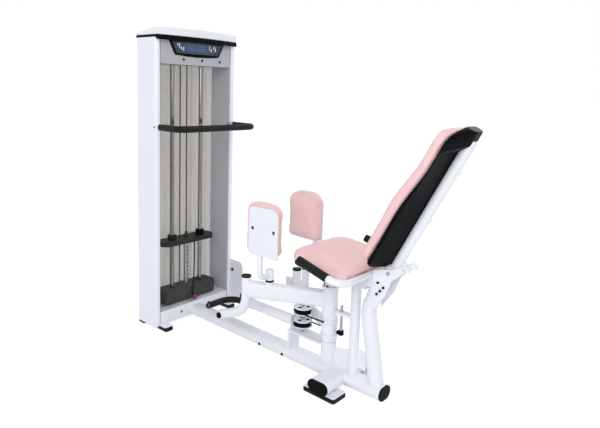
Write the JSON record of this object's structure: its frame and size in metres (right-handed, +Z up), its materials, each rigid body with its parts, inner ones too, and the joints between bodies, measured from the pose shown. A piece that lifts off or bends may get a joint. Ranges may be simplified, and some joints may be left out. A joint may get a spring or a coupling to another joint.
{
  "type": "seated outer-thigh machine",
  "caption": "Seated hip abduction gym machine: weight-stack tower on a floor rail, two swinging arms with thigh pads, seat with side grips and a reclined back pad.",
  "frame": {"origin": "middle of the machine's bounding box in plan, on the floor", "axes": "+Z up, +X from the weight tower to the backrest, +Y to the sitter's right as they face the tower"},
  "size_m": [1.674, 0.513, 1.5125],
  "materials": {
    "white_enamel": "smooth gloss powder coat",
    "white_plastic": "satin moulded plastic",
    "black_plastic": "fine-grained moulded plastic",
    "placard_blue": "printed dark sheet without text",
    "smoked_sheet": "smoked acrylic sheet",
    "chromed_steel": "polished",
    "bolt_steel": "zinc plated",
    "black_iron": "black painted castings",
    "black_rubber": "ribbed matt rubber",
    "pink_upholstery": "matt artificial leather"
  },
  "bodies": {
    "frame": {"tower_column_left": "white_enamel", "tower_column_right": "white_enamel", "tower_base": "white_enamel", "tower_top_beam": "white_enamel", "cap_band": "black_plastic", "tower_cap": "white_plastic", "placard": "placard_blue", "front_shield": "smoked_sheet", "rear_shield": "smoked_sheet", "guide_rods": "chromed_steel", "rod_bumpers": "black_rubber", "grab_bar": "black_rubber", "column_bracket": "white_enamel", "tower_foot_pads": "black_rubber", "base_rail": "white_enamel", "rail_end_cap": "black_plastic", "rear_foot": "white_enamel", "rear_foot_caps": "black_plastic", "rear_foot_pads": "black_rubber", "pivot_post": "white_enamel", "pulley_bracket": "white_enamel", "foot_bar_stem": "white_enamel", "foot_bar": "black_rubber", "inner_post": "white_enamel", "rear_post": "white_enamel", "seat_frame": "white_enamel", "seat_board": "black_plastic", "seat_cushion": "pink_upholstery", "seat_handle": "white_enamel", "handle_grips": "black_rubber", "recline_plates": "white_enamel", "recline_bolts": "bolt_steel", "pulley_axles": "bolt_steel", "arm_cables": "black_rubber", "return_cable": "black_plastic"},
    "carriage": {"head_plate": "black_iron", "head_bushings": "black_plastic", "selector_stem": "bolt_steel", "weight_plates": "black_iron", "pin_lanyard": "black_plastic", "lift_cable": "black_plastic"},
    "pin": {"selector_pin": "black_plastic"},
    "left_arm": {"left_arm": "white_enamel", "left_arm_caps": "black_plastic"},
    "right_arm": {"right_arm": "white_enamel", "right_arm_caps": "black_plastic"},
    "left_pad": {"left_pad_post": "white_enamel", "left_pad_shell": "white_plastic", "left_pad_cushion": "pink_upholstery"},
    "right_pad": {"right_pad_post": "white_enamel", "right_pad_shell": "white_plastic", "right_pad_cushion": "pink_upholstery"},
    "backrest": {"backrest_tube": "white_enamel", "back_shell": "black_plastic", "back_cushion": "pink_upholstery"},
    "top_wheel": {"top_pulley": "black_plastic"},
    "base_wheel": {"base_pulley": "black_plastic"},
    "upper_cable_wheel": {"guide_pulley_upper": "white_plastic"},
    "lower_cable_wheel": {"guide_pulley_lower": "white_plastic"},
    "plunger": {"start_plunger": "bolt_steel"}
  },
  "joints": [
    {"name": "carriage_slide", "type": "slide", "parent": "frame", "child": "carriage", "axis": [0, 0, 1], "range_m": [0, 0.22], "deforming": ["lift_cable"]},
    {"name": "pin_slide", "type": "slide", "parent": "carriage", "child": "pin", "axis": [1, 0, 0], "range_m": [0, 0.06]},
    {"name": "left_arm_swing", "type": "hinge", "parent": "frame", "child": "left_arm", "pos_m": [0.233, 0, 0.322], "axis": [0, 0, 1], "range_deg": [0, 35.5]},
    {"name": "right_arm_swing", "type": "hinge", "parent": "frame", "child": "right_arm", "pos_m": [0.233, 0, 0.206], "axis": [0, 0, -1], "range_deg": [0, 35.5]},
    {"name": "left_pad_swivel", "type": "hinge", "parent": "left_arm", "child": "left_pad", "pos_m": [-0.01021, -0.12179, 0.427], "axis": [0, 0, 1], "range_deg": [-15, 15]},
    {"name": "right_pad_swivel", "type": "hinge", "parent": "right_arm", "child": "right_pad", "pos_m": [-0.01021, 0.12179, 0.427], "axis": [0, 0, 1], "range_deg": [-15, 15]},
    {"name": "backrest_tilt", "type": "hinge", "parent": "frame", "child": "backrest", "pos_m": [0.53, 0, 0.548], "axis": [0, 1, 0], "range_deg": [-8, 0]},
    {"name": "top_wheel_spin", "type": "hinge", "parent": "frame", "child": "top_wheel", "pos_m": [-0.791, 0, 1.39], "axis": [0, -1, 0], "range_deg": [0, 450]},
    {"name": "base_wheel_spin", "type": "hinge", "parent": "frame", "child": "base_wheel", "pos_m": [-0.8015, 0, 0.058], "axis": [0, -1, 0], "range_deg": [0, 710]},
    {"name": "upper_cable_wheel_spin", "type": "hinge", "parent": "frame", "child": "upper_cable_wheel", "pos_m": [0.084, 0, 0.262], "axis": [0, 0, 1], "range_deg": [0, 35.5]},
    {"name": "lower_cable_wheel_spin", "type": "hinge", "parent": "frame", "child": "lower_cable_wheel", "pos_m": [0.084, 0, 0.203], "axis": [0, 0, -1], "range_deg": [0, 35.5]},
    {"name": "plunger_pull", "type": "slide", "parent": "frame", "child": "plunger", "axis": [0, 0, -1], "range_m": [0, 0.02], "stiffness_N_per_m": 400, "springref_m": -0.015}
  ],
  "couplings": [
    {"joint": "left_arm_swing", "follows": "carriage_slide", "rad_per_m": 2.7778},
    {"joint": "right_arm_swing", "follows": "carriage_slide", "rad_per_m": 2.7778},
    {"joint": "top_wheel_spin", "follows": "carriage_slide", "rad_per_m": 35.088},
    {"joint": "base_wheel_spin", "follows": "carriage_slide", "rad_per_m": 55.556},
    {"joint": "upper_cable_wheel_spin", "follows": "carriage_slide", "rad_per_m": 2.7778},
    {"joint": "lower_cable_wheel_spin", "follows": "carriage_slide", "rad_per_m": 2.7778}
  ]
}
